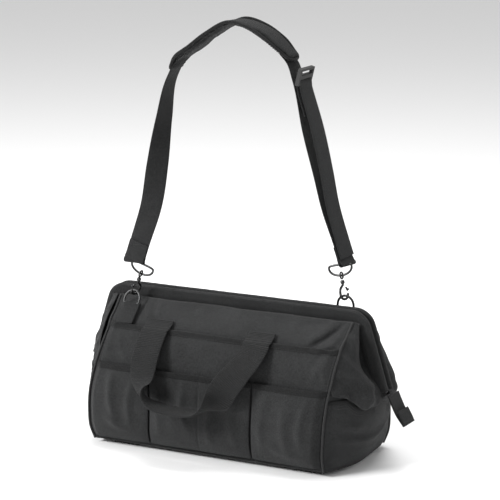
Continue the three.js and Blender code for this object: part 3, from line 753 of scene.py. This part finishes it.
def bag_end(end, half_turn):
    """End wall, end pocket, and the slack upper cloth in two halves with the fold between them."""
    v, u = np.meshgrid(np.linspace(0, 1, 70), np.linspace(-1, 1, 120), indexing="ij")
    flap = u * LEVELS[4, 3]
    top = np.minimum(smooth_through(flap, FLAP_Y, FLAP_Z) + 8, 149)
    z = BASE_Z + 1.5 + (top - BASE_Z) * v
    wall = slab(end_face(u * level(z, 3), z), CLOTH)
    piece(f"{end}_end_wall", [(wall, OXFORD)], body="bag", half_turn=half_turn,
          stands_for=[f"{end}_gusset"])

    z = 15 + (end_pocket_top(flap) - 15) * v
    lift = 3.2 + 3.0 * np.sin(np.pi * v) * (1 - u ** 2)
    cloth = end_face(u * (level(z, 3) - 2), z, lift)
    edge, out, rise = cloth[-1], grid_normals(cloth)[-1], unit(cloth[-1] - cloth[-2])
    layers = [(slab(cloth, CLOTH), OXFORD), (band_along(edge - out * 0.5, out, 8, 3.0, rise), TAPE)]
    for drop, proud in ((1.0, 1.0), (5.5, 0.3), (10.0, 0.3)):
        layers.append(stitch_line((edge - rise * drop + out * proud)[6:-6], out[6:-6]))
    piece(f"{end}_slip_pocket", layers, body="bag", half_turn=half_turn,
          stands_for=[f"{end}_end_pocket"])

    base = np.array(GUSSET_NET, float)
    if half_turn:
        base[:4, 2:, 0] -= LEFT_TUCK
    grid = net(base, 110, 80)
    uv = cloth_uv(grid)
    y, z = grid[..., 1], grid[..., 2]
    rough = slack(y, z, 5, 13, 5.0) + creases(y, z, GUSSET_FOLDS)
    rough = rough + slack(y, z, 9, 5, 6.5) * (1 - blended(z, 130, 185))
    t = np.linspace(0, 1, 80)
    inside = blended(t, 0, 0.15) * (1 - blended(t, 0.85, 1))
    grid = grid + grid_normals(grid) * (rough * inside)[..., None]

    # the fold between the frame's legs, deeper inside the bag
    z = np.linspace(140, 244, 40)[:, None]
    t = np.linspace(1, 0, 24)[None, :]
    x = CORNER_X + (212 - z) * LEAN - 46 * blended(z, 136, 215) * (1 - t) ** 0.8
    inner = np.stack(np.broadcast_arrays(x, -FRAME_Y * t, z), axis=-1)

    for mirror, near, far in ((1, "front", "rear"), (-1, "rear", "front")):
        body = f"{far if half_turn else near}_frame"
        flip = np.array([1, mirror, 1])
        piece(f"{end}_gusset_{near}", [(slab((grid * flip)[:, ::mirror], CLOTH, uv[:, ::mirror]), OXFORD)],
              half_turn=half_turn, bend=("bag", body, (0, 0, 104), (0, 0, 196)))
        # the inner fold is drawn in the darker inside copy of the oxford: painted shade deep in the bag
        piece(f"{end}_inner_fold_{near}", [(slab((inner * flip)[:, ::mirror], 1.0), OXFORD_SHADED_INSIDE)],
              half_turn=half_turn, bend=("bag", body, (0, 0, 0), (0, -FRAME_Y * mirror, 0)))


def base_panel():
    """The stiffened bottom: an oblong of cloth with the walls' outline, and the cord sewn round its edge."""
    a = np.linspace(0, 2 * np.pi, 160, endpoint=False)
    c, s = np.cos(a), np.sin(a)
    x = 222 * np.sign(c) * np.abs(c) ** 0.2
    y = 97 * np.sign(s) * np.abs(s) ** 0.2
    radial = np.linspace(0.02, 1, 14)[:, None]
    grid = np.stack(np.broadcast_arrays(x * radial, y * radial, BASE_Z + 1.6), axis=-1)
    grid = np.concatenate([grid, grid[:, :1]], axis=1)
    sheet = slab(grid[::-1], CLOTH)
    rim = np.stack([x + 1, y + 0.5 * np.sign(y), np.full_like(x, BASE_Z + 2.2)], axis=-1)
    piece("bottom_panel", [(sheet, OXFORD), (tube(rim, PIPING_R, closed=True), PIPING)],
          body="bag", stands_for=["lower_body"])


long_side("front", False)
long_side("rear", True)
bag_end("right", False)
bag_end("left", True)
base_panel()


# ---------------------------------------------------------------- mouth: bindings and zip
def mouth_line(foot_z, shift, y, count):
    """The U of the mouth: level along the top, a round bend at each corner, two legs that lean outwards."""
    turn = math.pi / 2 - math.atan(LEAN)
    radius = BEND_R + shift
    centre_x = CORNER_X - BEND_R * math.tan(turn / 2)
    centre_z = FRAME_TOP - BEND_R
    a = np.pi / 2 - turn * np.linspace(0, 1, 14)
    bend = np.stack([centre_x + radius * np.cos(a), centre_z + radius * np.sin(a)], -1)
    foot_x = CORNER_X + (FRAME_TOP - foot_z) * LEAN + shift / math.cos(math.atan(LEAN))
    half = np.concatenate([bend, [[foot_x, foot_z]]])
    whole = np.concatenate([half[::-1] * [-1, 1], half])
    fine = lengths_along(whole)
    even = np.linspace(0, fine[-1], count)
    x, z = (np.interp(even, fine, whole[:, i]) for i in range(2))
    return np.stack([x, np.full(count, y), z], axis=-1)


def mouth(side, half_turn):
    """Binding round the steel bar, with its stitching, and this side's half of the zip."""
    body = f"{side}_frame"
    path = mouth_line(132.5, 0, -FRAME_Y, 440)
    front = np.tile(TO_FRONT, (440, 1))
    s = lengths_along(path)
    pucker = 0.35 * np.sin(s / 3.1) + 0.5 * np.sin(s / 17 + 1)
    outline = strip_outline(24.5, 11.5, edge=8)[None] * (1 + 0.02 * pucker[:, None, None])
    layers = [(swept(path, np.cross(front, directions(path)), front, outline), BINDING)]
    for shift, proud in ((-8.6, 5.25), (9.6, 4.6)):
        layers.append(stitch_line(mouth_line(134, shift, -FRAME_Y - proud, 440), TO_FRONT, length=2.6))
    # the raw edge of the binding is folded under along its lower side
    layers.append((tube(mouth_line(133, -11.4, -FRAME_Y - 3.2, 440), 1.5), BINDING))
    piece(f"{side}_mouth_edge", layers, body=body, half_turn=half_turn,
          stands_for=[f"{side}_mouth_binding"])

    tape = mouth_line(150, -ZIP_DROP, -1.8, 300)
    front = front[:300]
    upright = strip_outline(3.2, 2.4, edge=4)[:, ::-1]
    tape_part = swept(tape, np.cross(front, directions(tape)), front, upright)
    teeth = mouth_line(150, -ZIP_DROP + 1.6, -0.75, 900)
    teeth = stitches(teeth, TO_FRONT, length=1.5, gap=0.9, radius=0.62)
    # the zip tape is drawn in the darker inside copy of the oxford: painted shade in the mouth
    piece(f"{side}_zip_tape", [(tape_part, OXFORD_SHADED_INSIDE), (teeth, COIL)], body=body,
          half_turn=half_turn, stands_for=[f"{side}_zip_half"])


# ---------------------------------------------------------------- carry handles
HANDLE_MID = -17
HANDLE_HALF = 98
HANDLE_W = 50
HANDLE_T = 2.6
TAIL_W = 42
GRIP = [  # along the bag from the handle's middle, depth, height, and how far its width turns outwards
    (-98, -92.5, 210, 0), (-98, -109, 192, 0), (-98, -125, 168, 0), (-98, -134, 143, 0.1),
    (-93, -142, 119, 0.45), (-70, -150, 101, 0.85), (-22, -153, 93, 1), (26, -150, 99, 0.85),
    (49, -143, 118, 0.45), (62, -134, 142, 0.1), (80, -125, 167, 0), (94, -109, 190, 0), (98, -98, 203, 0),
    (98.5, -92.5, 210, 0),
]


def handle(side, half_turn):
    """One carry handle: two flat sewn ends, the webbing's bend over each, and the hanging loop."""
    frame_body, root_body = f"{side}_frame", f"{side}_handle_root"
    wide = np.tile(TO_RIGHT, (4, 1))
    out = unit(np.array([0, -0.75, 0.9]))
    for end, x in (("left", HANDLE_MID - HANDLE_HALF), ("right", HANDLE_MID + HANDLE_HALF)):
        sewn = [(x, -66.5, 225), (x, -72, 220.6), (x, -80, 215.8), (x, -84.5, 213.4)]
        flat_end = ribbon(sewn, wide, HANDLE_W, HANDLE_T, 30)
        row = stitch_line([x, -71.2, 222.2] + np.linspace(-21, 21, 16)[:, None] * TO_RIGHT, out)
        piece(f"{side}_handle_{end}_sewn_end", [(flat_end, RIBBED), row],
              body=frame_body, half_turn=half_turn, stands_for=[f"{side}_handle_{end}_patch"])
        over = [(x, -82, 215.2), (x, -86, 213.2), (x, -91, 212), (x, -93.4, 208.6)]
        root = ribbon(over, wide, HANDLE_W - 0.2, HANDLE_T, 16)
        piece(f"{side}_handle_{end}_bend", [(root, RIBBED)], half_turn=half_turn,
              bend=(frame_body, root_body, (0, -84, 0), (0, -91, 0)),
              stands_for=[f"{side}_handle_{end}_root"])
    stops = np.array(GRIP, float)
    turn_out = stops[:, 3] * np.pi / 2
    second = np.arange(len(stops)) > len(stops) // 2 - 1
    across = np.stack([np.where(second, -1, 1) * np.cos(turn_out), -np.sin(turn_out), 0 * turn_out], -1)
    grip = ribbon(stops[:, :3] + [HANDLE_MID, 0, 0], across, HANDLE_W, HANDLE_T, 150)
    piece(f"{side}_handle_loop", [(grip, RIBBED)], body=f"{side}_handle", half_turn=half_turn,
          stands_for=[f"{side}_handle_grip"])


# ---------------------------------------------------------------- tabs, tails and straps
def folded_tab(name, x, half_turn, node, body):
    """Webbing folded in two round the ring's bar, its ends sewn under the pocket hem."""
    stops = [(x, -77.6, 214.5), (x, -64, 227.6), (x, -52.6, 238.4), (x, -46.8, 243.8), (x, -44.6, 242.4),
             (x, -49.8, 236.6), (x, -60.8, 226.2), (x, -73.5, 214)]
    layers = [(ribbon(stops, np.tile(TO_RIGHT, (8, 1)), 32, 2.0, 60), STRAPPING)]
    out = unit(np.array([0, -0.72, 0.7]))
    for y, z in ((-55.8, 236.6), (-62.6, 230.2)):
        row = [x, y, z] + np.linspace(-14, 14, 12)[:, None] * TO_RIGHT
        layers.append(stitch_line(row + out * 0.9, out))
    piece(name, layers, body=body, half_turn=half_turn, stands_for=[node])


def zip_tail():
    """The pull tab at the end of the zip: webbing folded over its own tip, with two sewn rows."""
    top, tip = np.array([292.0, 0, 130.0]), np.array([321.0, 0, 81.0])
    wide = np.array([0, 1.0, 0])
    strip = ribbon([top, (297, 0, 119), (305.5, 0, 102), tip], np.tile(wide, (4, 1)), TAIL_W, 3.0, 40)
    folded = [top * 0.45 + tip * 0.55 + [1.6, 0, 1.9], top * 0.2 + tip * 0.8 + [1.7, 0, 2.0],
              tip + [1.4, 0, 0.6]]
    fold = ribbon(folded, np.tile(wide, (3, 1)), TAIL_W, 2.2, 20)
    layers = [(strip, TAPE), (fold, TAPE)]
    out = unit(np.cross(tip - top, wide))
    for share in (0.60, 0.9):
        middle = top * (1 - share) + tip * share + out * 3.6
        layers.append(stitch_line(middle + np.linspace(-18, 18, 14)[:, None] * wide, out))
    piece("right_zip_tail_tab", layers, body="right_zip_tail", stands_for=["right_zip_tail"])


for side_name, is_turned in (("front", False), ("rear", True)):
    mouth(side_name, is_turned)
    handle(side_name, is_turned)
folded_tab("left_ring_loop", -184, False, "left_ring_tab", "front_frame")
folded_tab("right_ring_loop", -184, True, "right_ring_tab", "rear_frame")
zip_tail()


# ---------------------------------------------------------------- shoulder strap
STRAP_W = 38
STRAP_T = 1.8
STRAP_STILL, STRAP_SWUNG = (0, 0, 600), (0, 0, 352)  # ends of the bend given to the strap webbing, from no swing to all of it; piece() makes no bend from them
RING_BAR_BAND = 4.6  # the strap ring's bar is what lies this close to the ring's top
END_LOOP = ((34, 2.6), (16, 2.9), (4, 3.6), (-1.6, 2.6), (-3.4, 0), (-1.6, -2.6), (4, -1.6), (12, -0.2))


def strap_width(angles):
    """Directions of the webbing's width, level and turned by these angles from the bag's length."""
    a = np.asarray(angles, float)
    return np.stack([np.cos(a), np.sin(a), 0 * a], -1)


def end_loop(bar, up, wide, name, body):
    """The strap's sewn end, with two rows of stitches: webbing that goes round the ring's bar and back up.

    END_LOOP says how far up the strap from the bar and how far out from its middle the webbing passes.
    """
    out = np.cross(wide, up)
    stops = [bar + up * rise + out * proud for rise, proud in END_LOOP]
    layers = [(ribbon(stops, np.tile(wide, (len(stops), 1)), STRAP_W, STRAP_T, 60), STRAPPING)]
    for rise in (12, 30):
        line = bar + up * rise + out * 3.95 + np.linspace(-16, 16, 14)[:, None] * wide
        layers.append(stitch_line(line, out, back=0.2))
    piece(name, layers, body=body)


def ring_bar(end):
    """Middle of the strap ring's straight bar, at the ring's top, read from the CAD."""
    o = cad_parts[f"{end}_strap_ring"]
    co = np.array([v.co for v in o.data.vertices]) / MM
    high = co[co[:, 2] > co[:, 2].max() - RING_BAR_BAND]
    return high.mean(0) - BOARD_MIDDLE


def straps():
    """Webbing from each ring up to the pad: one layer at the left, and two at the right with the slide."""
    left, right = ring_bar("left"), ring_bar("right")
    left_up = unit(np.array([-150, -36, 420]) - left)
    right_up = unit(np.array([153, 36, 430]) - right)
    stops = [left + left_up * 3 + [0, 0.6, 0], left + left_up * 34, (-150, -36, 420), (-144, -25, 487),
             (-136, -15, 567), (-124, -5, 640), (-112, -1, 664), (-94, 0, 680)]
    angles = [0, 0.02, 0.25, 0.72, 1.25, 1.57, 1.57, 1.57]
    strap = ribbon(stops, strap_width(angles), STRAP_W, STRAP_T, 220)
    piece("left_strap_webbing", [(strap, STRAPPING)], stands_for=["left_strap"],
          bend=("bag", "front_frame", STRAP_STILL, STRAP_SWUNG))
    end_loop(left, left_up, TO_RIGHT, "left_strap_end", "front_frame")

    tilt = 1.35
    inner = [right + right_up * 3 + [-1.2, 0, 0], right + right_up * 30 + [-1.2, 0, 0], (151, 36, 430),
             (139.5, 30, 482), (123.5, 17.5, 560), (109, 6, 648), (100, 2, 676), (86, 0, 692)]
    outer = [right + right_up * 12 + [3.2, 1, 0], right + right_up * 46 + [4.4, 1, 0], (161, 36, 430),
             (151.5, 30, 490), (139.5, 18, 565), (124.5, 6, 632), (120.6, 4, 650), (117.6, 4, 652),
             (117.0, 5, 640), (127, 12, 590)]
    for name, node, stops, count in (("right_strap_under", "right_strap_inner", inner, 200),
                                     ("right_strap_over", "right_strap_outer", outer, 240)):
        webbing = ribbon(stops, strap_width(np.linspace(tilt, 1.57, len(stops))), STRAP_W, STRAP_T, count)
        piece(name, [(webbing, STRAPPING)], stands_for=[node],
              bend=("bag", "rear_frame", STRAP_STILL, STRAP_SWUNG))
    end_loop(right, right_up, -strap_width([tilt])[0], "right_strap_end", "rear_frame")


PAD_LINE = [(-122, -3, 650), (-112, 0, 671), (-80, 0, 695), (-46, 0, 720), (-2, 0, 741), (37, 0, 732),
            (72, 0, 711), (104, 2, 682)]
PAD_W = 64


def pad_frame(count):
    """Points along the pad's middle, the ways out of and across it, and how full its width is at each."""
    path = run_through(PAD_LINE, count)
    along = directions(path)
    across = np.tile([0.0, 1.0, 0.0], (count, 1))
    across = unit(across - along * (across * along).sum(1, keepdims=True))
    t = np.linspace(0, 1, count)
    full = 0.66 + 0.34 * blended(np.minimum(t, 1 - t), 0, 0.16)
    return path, across, np.cross(along, across), full


def swell(o, pressure, cap_mm):
    """Blows the closed mesh up like a filled cushion, and lets no point move further than the cap."""
    remesh = o.modifiers.new("even", "REMESH")
    remesh.mode = "VOXEL"
    remesh.voxel_size = 0.004
    bpy.context.view_layer.objects.active = o
    o.select_set(True)
    bpy.ops.object.modifier_apply(modifier=remesh.name)
    count = len(o.data.vertices)
    rest = np.empty(count * 3)
    o.data.vertices.foreach_get("co", rest)
    cloth = o.modifiers.new("cloth", "CLOTH")
    cloth.settings.use_pressure = True
    cloth.settings.uniform_pressure_force = pressure
    cloth.settings.effector_weights.gravity = 0
    for step in range(1, 21):
        bpy.context.scene.frame_set(step)
    shape = o.evaluated_get(bpy.context.evaluated_depsgraph_get())
    now = np.empty(count * 3)
    shape.data.vertices.foreach_get("co", now)
    move = (now - rest).reshape(-1, 3)
    far = np.linalg.norm(move, axis=1, keepdims=True)
    move = move * np.minimum(1, cap_mm * MM / np.maximum(far, 1e-9))
    o.modifiers.remove(cloth)
    o.data.vertices.foreach_set("co", (rest.reshape(-1, 3) + move).ravel())
    bpy.context.scene.frame_set(1)


def pad():
    """The padded shoulder piece, its edge tape all round, and its stitching."""
    count = 120
    path, across, out, full = pad_frame(count)
    a = np.linspace(0, 2 * np.pi, 36, endpoint=False)
    c, s = np.cos(a), np.sin(a)
    half_width = np.sign(c) * np.abs(c) ** 0.5 * (PAD_W / 2 - 3)
    outline = np.stack([half_width, np.where(s > 0, s * 5.0, s * 2.6) + 0.6], axis=-1)
    outline = outline[None] * np.stack([full, np.ones(count)], axis=-1)[:, None]
    filled = swept(path, across, -out, outline)
    cushion = piece("shoulder_cushion", [(filled, PAD_CLOTH)], body="bag",
                    stands_for=["shoulder_pad"])
    swell(cushion, 4, 3.5)
    wrap = cushion.modifiers.new("finer", "SUBSURF")
    wrap.levels = wrap.render_levels = 1
    lay_cloth_over(cushion, path)
    reach = ((PAD_W / 2 - 1.6) * full)[:, None]
    near, far = (path + across * reach)[3:-3], (path - across * reach)[3:-3][::-1]
    loop = run_through(np.concatenate([near, far, near[:1]]), 420)[:-1]
    layers = [(tube(loop, 2.6, closed=True, sides=10), TAPE)]
    for sign in (1, -1):
        line = path + across * (sign * (PAD_W / 2 - 7) * full)[:, None] - out * 5.4
        layers.append(stitch_line(line[6:-6], -out[6:-6], back=0.1))
    for i in (4, count - 5):
        row = path[i] - out[i] * 5.6 + across[i] * np.linspace(-19, 19, 14)[:, None]
        layers.append(stitch_line(row, -out[i]))
    piece("shoulder_cushion_edge", layers, body="bag")


def lay_cloth_over(o, path):
    """Gives every corner its place on the cloth: along the pad's middle line, and across it."""
    mesh = o.data
    co = np.empty(len(mesh.vertices) * 3)
    mesh.vertices.foreach_get("co", co)
    co = co.reshape(-1, 3) / MM - BOARD_MIDDLE
    nearest = np.argmin(((co[:, None] - path[None]) ** 2).sum(-1), axis=1)
    past = ((co - path[nearest]) * directions(path)[nearest]).sum(-1)
    uv = np.stack([lengths_along(path)[nearest] + past, co[:, 1]], axis=-1) * MM
    corners = np.empty(len(mesh.loops), np.int32)
    mesh.loops.foreach_get("vertex_index", corners)
    layer = mesh.uv_layers.get("cloth") or mesh.uv_layers.new(name="cloth")
    layer.data.foreach_set("uv", uv[corners].astype(np.float32).ravel())
    mesh.polygons.foreach_set("use_smooth", np.ones(len(mesh.polygons), bool))
    mesh.update()


# ---------------------------------------------------------------- hard parts that the CAD already shapes
def finish_cad(node, material, rounded=0, bevel=0.0):
    """Gives a CAD node its finish. Wire is rounded by subdivision, and other parts get eased edges."""
    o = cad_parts[node]
    o.data.materials.clear()
    o.data.materials.append(material)
    weld = o.modifiers.new("weld", "WELD")
    weld.merge_threshold = 1e-5
    if rounded:
        o.data.polygons.foreach_set("use_smooth", np.ones(len(o.data.polygons), bool))
        wrap = o.modifiers.new("round", "SUBSURF")
        wrap.levels = wrap.render_levels = rounded
    if bevel:
        ease = o.modifiers.new("ease", "BEVEL")
        ease.width = bevel
        ease.segments = 3
        ease.limit_method = "ANGLE"
        ease.angle_limit = math.radians(35)
        ease.harden_normals = False


straps()
pad()
for end_name in ("left", "right"):
    for part_name in ("d_ring", "snap_hook", "hook_gate", "swivel_eye", "strap_ring"):
        finish_cad(f"{end_name}_{part_name}", NICKEL, rounded=1)
    finish_cad(f"{end_name}_frame_rivet", STEEL, bevel=0.0006)
for side_name in ("front", "rear"):
    finish_cad(f"{side_name}_mouth_frame", STEEL, bevel=0.0004)
for foot_name in ("front_left", "front_right", "rear_left", "rear_right"):
    finish_cad(f"foot_{foot_name}", PLASTIC, bevel=0.0006)
finish_cad("zip_slider", ZIP_METAL, bevel=0.0008)
finish_cad("zip_pull", ZIP_METAL, bevel=0.0005)
finish_cad("strap_slide", PLASTIC, bevel=0.0008)
finish_cad("base_board", BOARD, bevel=0.0005)


# ---------------------------------------------------------------- floor and light
def stage():
    """A pale floor, an even white sky, a soft key light from the front left and a soft light from above."""
    bpy.ops.mesh.primitive_plane_add(size=40)
    floor = bpy.context.object
    floor.name = "floor"
    pale = Finish("pale_floor", **{"Base Color": (0.9, 0.9, 0.9, 1), "Roughness": 0.9})
    floor.data.materials.append(pale.material)
    world = bpy.data.worlds.new("studio")
    world.use_nodes = True
    sky = world.node_tree.nodes["Background"]
    sky.inputs["Color"].default_value = (1, 1, 1, 1)
    sky.inputs["Strength"].default_value = 0.62
    bpy.context.scene.world = world
    soft_box("key_light", (-2.2, -3.0, 2.4), (0, 0, 0.2), (1.3, 1.3), 210)
    soft_box("top_light", (0.0, 0.8, 3.4), (0, 0, 0), (2.0, 2.0), 90)


stage()
